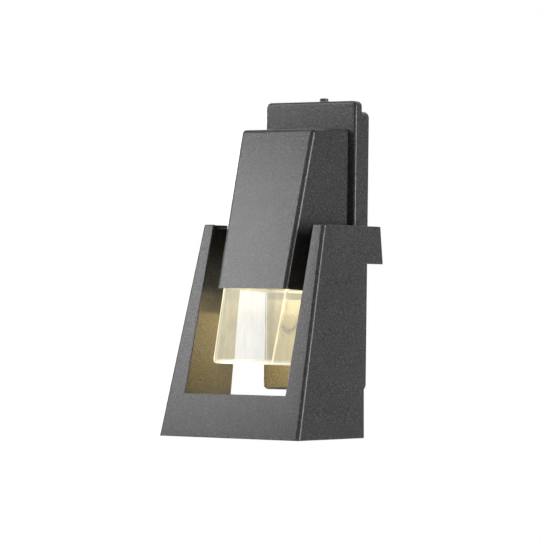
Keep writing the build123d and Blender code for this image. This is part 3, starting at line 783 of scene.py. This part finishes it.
def solid_fits(node):
    """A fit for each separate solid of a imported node."""
    bm = bmesh.new()
    bm.from_mesh(NODES[node].data)
    bmesh.ops.remove_doubles(bm, verts=bm.verts, dist=MERGE)
    left, fits = set(bm.verts), []
    while left:
        front = [left.pop()]
        found = list(front)
        while front:
            vert = front.pop()
            for edge in vert.link_edges:
                other = edge.other_vert(vert)
                if other in left:
                    left.remove(other)
                    front.append(other)
                    found.append(other)
        fits.append(Fit(found))
    bm.free()
    return sorted(fits, key=lambda fit: (round(fit.seat.x, 4), round(fit.seat.z, 4), round(fit.seat.y, 4)))


def thread_profile(shank, length, pitch, depth):
    """Radii and heights of a threaded shank below its seat at Z = 0."""
    profile = [(0.0, -length), (shank - depth, -length)]
    turns = max(int((length - pitch) / pitch), 1)
    for turn in range(turns):
        z = -length + pitch * (turn + 0.5)
        profile += [(shank, z), (shank - depth, z + pitch / 2)]
    return profile + [(shank, -pitch / 4), (shank, 0.0)]


def pan_profile(head, rise, edge, steps=6):
    """Radii and heights of a head with a rounded edge, from its seat at Z = 0."""
    profile = [(head, 0.0), (head, rise - edge)]
    for step in range(1, steps + 1):
        a = 0.5 * math.pi * step / steps
        profile.append((head - edge * (1 - math.cos(a)), rise - edge * (1 - math.sin(a))))
    return profile + [(0.0, rise)]


def seat_points(name, fits):
    """One point for each fastener, with the direction of its head as an attribute."""
    mesh = bpy.data.meshes.new(name + "_seats")
    mesh.from_pydata([fit.seat for fit in fits], [], [])
    axis = mesh.attributes.new("axis", "FLOAT_VECTOR", "POINT")
    axis.data.foreach_set("vector", [value for fit in fits for value in fit.axis])
    return mesh


def repeat_on_seats(tree, geometry):
    """Puts geometry on each seat, its Z axis towards the head."""
    attribute = tree.add("GeometryNodeInputNamedAttribute", {"Name": "axis"}, data_type="FLOAT_VECTOR")
    turn = tree.add("FunctionNodeAlignRotationToVector", axis="Z")
    tree.wire(attribute.outputs["Attribute"], turn, "Vector")
    rows = tree.add("GeometryNodeInstanceOnPoints")
    tree.wire(tree.source.outputs["Geometry"], rows, "Points")
    tree.wire(geometry, rows, "Instance")
    tree.wire(turn.outputs["Rotation"], rows, "Rotation")


def screw_set(node, name, body, material, crossed=True):
    """A group of like screws with threads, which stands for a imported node."""
    finish = settings().fixing
    fits = solid_fits(node)
    one = fits[0]
    profile = thread_profile(one.shank, one.length, finish.pitch, finish.thread)
    profile += pan_profile(one.head, one.rise, one.rise * (CROSS_EDGE if crossed else CAP_EDGE))
    pattern = link_mesh(name + "_pattern", turned_mesh(name + "_pattern", profile, finish.facets))
    tree = Tree(name)
    info = tree.add("GeometryNodeObjectInfo")
    tree.wire(tree.take("Screw", "NodeSocketObject", pattern), info, "Object")
    geometry = info.outputs["Geometry"]
    if crossed:
        sizes = [tree.take("Slot length", "NodeSocketFloat", 2 * one.head * CROSS_LENGTH),
                 tree.take("Slot width", "NodeSocketFloat", 2 * one.head * CROSS_WIDTH),
                 tree.take("Slot depth", "NodeSocketFloat", one.rise)]
        arm = tree.box(sizes, tree.take("Head height", "NodeSocketFloat", one.rise))
        geometry = tree.cut(geometry, arm, tree.turned(arm, 90.0))
    repeat_on_seats(tree, geometry)
    made = tree.finish(name, seat_points(name, fits), material)
    bpy.data.objects.remove(pattern)
    stands_for(made, node, body)


def knurled_screw(node, name, body, material):
    """The lock screw: a turned head with ribs all round and a slot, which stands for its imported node."""
    finish = settings().fixing
    fit = solid_fits(node)[0]
    rib, ribs = finish.rib, finish.ribs
    head = fit.head - RIB_BITE * rib
    profile = thread_profile(fit.shank, fit.length, finish.pitch, finish.thread)
    rise = fit.rise - TOP_CLEAR
    profile += pan_profile(head, rise, finish.head_edge)
    body_mesh = turned_mesh(name + "_body", profile, finish.facets)
    tree = Tree(name)
    sizes = [tree.take("Slot length", "NodeSocketFloat", SLOT_REACH * fit.head),
             tree.take("Slot width", "NodeSocketFloat", finish.slot),
             tree.take("Slot depth", "NodeSocketFloat", SLOT_REACH * finish.slot)]
    slot = tree.box(sizes, tree.take("Head height", "NodeSocketFloat", rise))
    slot = tree.turned(slot, finish.slot_turn)
    ring = tree.add("GeometryNodeMeshCircle")
    tree.wire(tree.take("Ribs", "NodeSocketInt", ribs), ring, "Vertices")
    tree.wire(tree.take("Rib circle", "NodeSocketFloat", fit.head - rib), ring, "Radius")
    bar = tree.add("GeometryNodeMeshCylinder", {"Vertices": RIB_FACETS})
    tree.wire(tree.take("Rib radius", "NodeSocketFloat", rib), bar, "Radius")
    tree.wire(tree.take("Rib length", "NodeSocketFloat", fit.rise - 2 * finish.head_edge), bar, "Depth")
    rows = tree.add("GeometryNodeInstanceOnPoints")
    tree.wire(ring.outputs["Mesh"], rows, "Points")
    tree.wire(bar.outputs["Mesh"], rows, "Instance")
    place = tree.add("ShaderNodeCombineXYZ")
    tree.wire(tree.take("Rib height", "NodeSocketFloat", fit.rise / 2), place, "Z")
    lifted = tree.add("GeometryNodeTransform")
    tree.wire(rows.outputs["Instances"], lifted, "Geometry")
    tree.wire(place.outputs[0], lifted, "Translation")
    solid = tree.add("GeometryNodeRealizeInstances")
    tree.wire(lifted.outputs["Geometry"], solid, "Geometry")
    cut_ribs = tree.cut(solid.outputs[0], slot)
    cut_body = tree.cut(tree.source.outputs["Geometry"], slot)
    both = tree.add("GeometryNodeJoinGeometry")
    tree.wire(cut_ribs, both, "Geometry")
    tree.wire(cut_body, both, "Geometry")
    made = tree.finish(name, body_mesh, material)
    made.data.transform(Matrix.Translation(fit.seat))
    stands_for(made, node, body)


# Operators for the pieces
class WALLLIGHT_OT_castings(Operator):
    """Coat the wall box, the cover plate and the hood"""

    bl_idname = "wall_light.castings"
    bl_label = "Castings"

    def execute(self, context):
        coat = coat_material("casting_powder_coat", settings().coat.gloss)
        for node in ("wall_box", "cover_plate", "hood"):
            paint(node, coat)
        return {"FINISHED"}


class WALLLIGHT_OT_shroud(Operator):
    """Ease the edges of the shroud and the wings and coat them"""

    bl_idname = "wall_light.shroud"
    bl_label = "Shroud and wings"

    def execute(self, context):
        coat = coat_material("sheet_powder_coat", settings().coat.sheet_gloss)
        edge = settings().coat.edge
        eased_copy("shroud", "shroud_sheet", edge, "light", coat)
        for node in ("left_wing", "right_wing"):
            eased_copy(node, node + "_sheet", edge, "light", coat)
        return {"FINISHED"}


class WALLLIGHT_OT_glass(Operator):
    """Make the glass shade"""

    bl_idname = "wall_light.glass"
    bl_label = "Glass shade"

    def execute(self, context):
        mesh = glass_mesh("glass_shell")
        mesh.materials.append(glass_material())
        shade = link_mesh("glass_shell", mesh)
        shade.visible_shadow = False
        keep_off("key", shade)
        stands_for(shade, "glass_shade", "light")
        return {"FINISHED"}


class WALLLIGHT_OT_light_source(Operator):
    """Finish the tray, the reflector, the board and the light source"""

    bl_idname = "wall_light.light_source"
    bl_label = "Light source"

    def execute(self, context):
        low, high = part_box("led_chip")
        centre = ((low.x + high.x) / 2, (low.y + high.y) / 2, low.z)
        paint("led_chip", emitter_material(centre))
        paint("led_board", plain_material("white_solder_mask", (0.82, 0.82, 0.8), 0.35))
        paint("reflector", plain_material("white_reflector", (0.86, 0.86, 0.84), 0.5))
        paint("led_tray", metal_material("satin_aluminium", (0.66, 0.66, 0.66), 0.38))
        make_source("source", centre, settings().lamp.power)
        make_source("wash", centre, settings().lamp.wash, WASH_TURN, WASH_SPREAD)
        return {"FINISHED"}


class WALLLIGHT_OT_fixings(Operator):
    """Finish the rail, the hooks and the screws"""

    bl_idname = "wall_light.fixings"
    bl_label = "Rail, hooks and screws"

    def execute(self, context):
        zinc = metal_material("zinc_plated_steel", (0.58, 0.57, 0.53), 0.34)
        for node in ("hang_rail", "hang_hooks"):
            paint(node, zinc)
        screw_set("rail_screws", "rail_screw_set", "wall", zinc)
        for node in ("hook_screws", "hood_screws", "tray_screws", "board_screws", "wing_screws"):
            screw_set(node, node[:-1] + "_set", "light", zinc)
        paint("ground_screw", plain_material("green_lacquer", (0.04, 0.3, 0.09), 0.35))
        dark = plain_material("dark_cap_lacquer", (0.02, 0.02, 0.019), 0.7, specular=0.12)
        screw_set("driver_screws", "cap_screw_pair", "light", dark, crossed=False)
        grey_steel = metal_material("blackened_steel", (0.11, 0.108, 0.1), 0.36)
        knurled_screw("lock_screw", "lock_screw_knurled", "lock", grey_steel)
        return {"FINISHED"}


class WALLLIGHT_OT_gaskets(Operator):
    """Finish the gaskets, the grommet and the bushing"""

    bl_idname = "wall_light.gaskets"
    bl_label = "Gaskets"

    def execute(self, context):
        rubber = plain_material("black_rubber", (0.022, 0.022, 0.022), 0.72, relief=0.06 * MM, specular=0.3)
        for node in ("wall_gasket", "cover_gasket", "hood_gasket", "cable_grommet", "lead_bushing"):
            paint(node, rubber)
        paint("glass_gasket", plain_material("pale_silicone", (0.7, 0.69, 0.65), 0.5))
        return {"FINISHED"}


class WALLLIGHT_OT_wiring(Operator):
    """Finish the driver, the leads and the connectors"""

    bl_idname = "wall_light.wiring"
    bl_label = "Driver and wiring"

    def execute(self, context):
        paint("led_driver", plain_material("black_driver_case", (0.03, 0.03, 0.031), 0.5))
        paint("led_leads", plain_material("red_insulation", (0.5, 0.03, 0.025), 0.42))
        paint("supply_leads", plain_material("black_insulation", (0.025, 0.025, 0.025), 0.42))
        paint("led_connector", plain_material("white_connector", (0.8, 0.8, 0.77), 0.4))
        paint("wire_connectors", plain_material("orange_connector", (0.75, 0.24, 0.02), 0.38))
        return {"FINISHED"}


# Stage
VIEW_TARGET = Vector((-0.01112, -0.08784, -0.02098))
VIEW_DISTANCE = 3.5319
VIEW_AZIMUTH = math.radians(35.18)
VIEW_PITCH = math.radians(0.52)
VIEW_ROLL = math.radians(0.70)
SENSOR_WIDTH = 36.0
FAR_CLIP = 50.0
FLOOR_STEPS = 96
FLOOR_FIBRES = 160.0
FLOOR_ROUGHNESS = 0.85
BACKDROP_SIDE = (-0.766, 0.643, 0.0)
BACKDROP_FADE = (0.15, 0.6)
MIDDLE = (0.0, -0.1, 0.0)
# Each soft box's place, the point that it faces, and its two sizes
SOFT_BOXES = {
    "key": ((-0.83, -0.986, 0.465), (-0.13, -0.14, -0.03), (0.40, 0.46)),
    "fill": ((-0.80, -1.13, -0.22), (0.0, -0.05, 0.0), (1.1, 0.7)),
    "top": ((-0.5, -1.2, 1.5), MIDDLE, (1.2, 1.2)),
    "right": ((1.29, 0.06, 0.1), MIDDLE, (0.62, 0.85)),
    "left": ((-1.18, 0.45, 0.1), MIDDLE, (1.1, 0.85)),
}


def make_camera():
    """The camera at the photograph's viewing angle."""
    a, p, r = VIEW_AZIMUTH, VIEW_PITCH, VIEW_ROLL
    forward = Vector((-math.sin(a) * math.cos(p), math.cos(a) * math.cos(p), math.sin(p)))
    level = Vector((math.cos(a), math.sin(a), 0.0))
    upright = level.cross(forward)
    right = level * math.cos(r) + upright * math.sin(r)
    up = upright * math.cos(r) - level * math.sin(r)
    data = bpy.data.cameras.new("camera")
    data.sensor_width = SENSOR_WIDTH
    data.lens = settings().stage.lens
    data.clip_end = FAR_CLIP
    camera = bpy.data.objects.new("camera", data)
    bpy.context.scene.collection.objects.link(camera)
    turn = Matrix((right, up, -forward)).transposed().to_4x4()
    camera.matrix_world = Matrix.Translation(VIEW_TARGET - forward * VIEW_DISTANCE) @ turn
    bpy.context.scene.camera = camera


def make_lamp(name, place, target, size, power):
    """A soft rectangular lamp that faces a point."""
    data = bpy.data.lights.new(name, "AREA")
    data.shape = "RECTANGLE"
    data.size, data.size_y = size
    data.energy = power
    lamp = bpy.data.objects.new(name, data)
    bpy.context.scene.collection.objects.link(lamp)
    lamp.visible_camera = False
    lamp.location = place
    lamp.rotation_euler = (Vector(target) - Vector(place)).to_track_quat("-Z", "Y").to_euler()


def keep_off(lamp, piece):
    """Flags a lamp off one piece, so that the piece doesn't mirror it."""
    flag = bpy.data.collections.new(lamp + "_flag")
    flag.objects.link(piece)
    flag.collection_objects[0].light_linking.link_state = "EXCLUDE"
    bpy.data.objects[lamp].light_linking.receiver_collection = flag


def make_world(setup):
    """White where the camera and glass look, a white backdrop behind a dark front for gloss, soft light elsewhere."""
    world = bpy.data.worlds.new("studio")
    bpy.context.scene.world = world
    world.use_nodes = True
    tree = world.node_tree
    tree.nodes.clear()

    def add(kind, **settings_of_node):
        node = tree.nodes.new(kind)
        for key, value in settings_of_node.items():
            setattr(node, key, value)
        return node

    out = add("ShaderNodeOutputWorld")
    sky = add("ShaderNodeBackground")
    sky.inputs["Color"].default_value = (1.0, 1.0, 1.0, 1.0)
    path = add("ShaderNodeLightPath")
    seen = add("ShaderNodeMath", operation="MAXIMUM")
    tree.links.new(path.outputs["Is Camera Ray"], seen.inputs[0])
    tree.links.new(path.outputs["Is Transmission Ray"], seen.inputs[1])
    straight = add("ShaderNodeMath", operation="LESS_THAN")
    straight.inputs[1].default_value = 0.5
    tree.links.new(path.outputs["Diffuse Depth"], straight.inputs[0])
    clear = add("ShaderNodeMath", operation="MULTIPLY")
    tree.links.new(seen.outputs[0], clear.inputs[0])
    tree.links.new(straight.outputs[0], clear.inputs[1])
    where = add("ShaderNodeTexCoord")
    side = add("ShaderNodeVectorMath", operation="DOT_PRODUCT")
    side.inputs[1].default_value = BACKDROP_SIDE
    tree.links.new(where.outputs["Generated"], side.inputs[0])
    backdrop = add("ShaderNodeMapRange")
    fade = {"From Min": BACKDROP_FADE[0], "From Max": BACKDROP_FADE[1], "To Min": setup.front,
            "To Max": setup.backdrop}
    for key, value in fade.items():
        backdrop.inputs[key].default_value = value
    tree.links.new(side.outputs["Value"], backdrop.inputs["Value"])
    gloss = add("ShaderNodeMix", data_type="FLOAT")
    gloss.inputs[2].default_value = setup.world
    tree.links.new(path.outputs["Is Glossy Ray"], gloss.inputs[0])
    tree.links.new(backdrop.outputs["Result"], gloss.inputs[3])
    level = add("ShaderNodeMix", data_type="FLOAT")
    level.inputs[3].default_value = 1.0
    tree.links.new(clear.outputs[0], level.inputs[0])
    tree.links.new(gloss.outputs[0], level.inputs[2])
    tree.links.new(level.outputs[0], sky.inputs["Strength"])
    tree.links.new(sky.outputs[0], out.inputs["Surface"])


def floor_material(setup):
    """Pale paper that stays pale to the eye, keeps shadows and can be looked through from below."""
    s = Shader("pale_floor")
    fibres = s.noise(s.coordinates(), FLOOR_FIBRES, 2.0, 0.5)
    tone = s.ramp(fibres, "Fac", [(0.3, blend(setup.floor, grey(0.0), 0.02)), (0.7, tuple(setup.floor))])
    s.link(tone, "Color", s.surface, "Base Color")
    s.surface.inputs["Roughness"].default_value = FLOOR_ROUGHNESS
    s.surface.inputs["Emission Color"].default_value = (1.0, 1.0, 1.0, 1.0)
    path = s.add("ShaderNodeLightPath")
    seen = s.add("ShaderNodeMath", operation="MULTIPLY")
    seen.inputs[1].default_value = setup.floor_lift
    s.link(path, "Is Camera Ray", seen, 0)
    s.link(seen, "Value", s.surface, "Emission Strength")
    clear = s.add("ShaderNodeBsdfTransparent")
    facing = s.add("ShaderNodeNewGeometry")
    either = s.add("ShaderNodeMixShader")
    s.link(facing, "Backfacing", either, "Fac")
    s.tree.links.new(s.surface.outputs["BSDF"], either.inputs[1])
    s.tree.links.new(clear.outputs["BSDF"], either.inputs[2])
    s.link(either, "Shader", s.output, "Surface")
    return s.material


def make_floor(setup):
    """A plain pale floor under the light."""
    z = CAD_BOX[0].z - setup.floor_drop
    bm = bmesh.new()
    ring = []
    for k in range(FLOOR_STEPS):
        a = 2 * math.pi * k / FLOOR_STEPS
        ring.append(bm.verts.new((setup.floor_radius * math.cos(a), setup.floor_radius * math.sin(a), z)))
    bm.faces.new(ring)
    mesh = bpy.data.meshes.new("floor")
    bm.to_mesh(mesh)
    bm.free()
    mesh.materials.append(floor_material(setup))
    link_mesh("floor", mesh)


class WALLLIGHT_OT_stage(Operator):
    """Set the floor, the lamps, the world and the camera"""

    bl_idname = "wall_light.stage"
    bl_label = "Stage"

    def execute(self, context):
        setup = settings().stage
        make_floor(setup)
        make_world(setup)
        powers = {"key": setup.key, "fill": setup.fill, "top": setup.top, "right": setup.side, "left": setup.rim}
        for name, (place, target, size) in SOFT_BOXES.items():
            make_lamp(name, place, target, size, powers[name])
        bpy.data.objects["left"].visible_transmission = False
        make_camera()
        context.scene.view_settings.view_transform = "Standard"
        return {"FINISHED"}


OPERATORS = (WALLLIGHT_OT_stage, WALLLIGHT_OT_castings, WALLLIGHT_OT_shroud, WALLLIGHT_OT_glass,
             WALLLIGHT_OT_light_source, WALLLIGHT_OT_fixings, WALLLIGHT_OT_gaskets, WALLLIGHT_OT_wiring)


class WALLLIGHT_PT_panel(Panel):
    """Settings and pieces of the wall light"""

    bl_idname = "WALLLIGHT_PT_panel"
    bl_label = "Wall light"
    bl_space_type = "VIEW_3D"
    bl_region_type = "UI"
    bl_category = "Wall Light"

    def draw(self, context):
        layout = self.layout
        for group in (settings().coat, settings().glass, settings().lamp, settings().fixing, settings().stage):
            box = layout.box()
            for name in group.bl_rna.properties.keys():
                if name not in ("rna_type", "name"):
                    box.prop(group, name)
        for operator in OPERATORS:
            layout.operator(operator.bl_idname)


CLASSES = (CoatFinish, GlassFinish, LampFinish, FixingFinish, StageSetup, WallLight, *OPERATORS, WALLLIGHT_PT_panel)


def register():
    for cls in CLASSES:
        bpy.utils.register_class(cls)
    bpy.types.Scene.wall_light = PointerProperty(type=WallLight)


def unregister():
    del bpy.types.Scene.wall_light
    for cls in reversed(CLASSES):
        bpy.utils.unregister_class(cls)


def main():
    register()
    bpy.ops.wall_light.stage()
    bpy.ops.wall_light.castings()
    bpy.ops.wall_light.shroud()
    bpy.ops.wall_light.glass()
    bpy.ops.wall_light.light_source()
    bpy.ops.wall_light.fixings()
    bpy.ops.wall_light.gaskets()
    bpy.ops.wall_light.wiring()


if __name__ == "__main__":
    main()
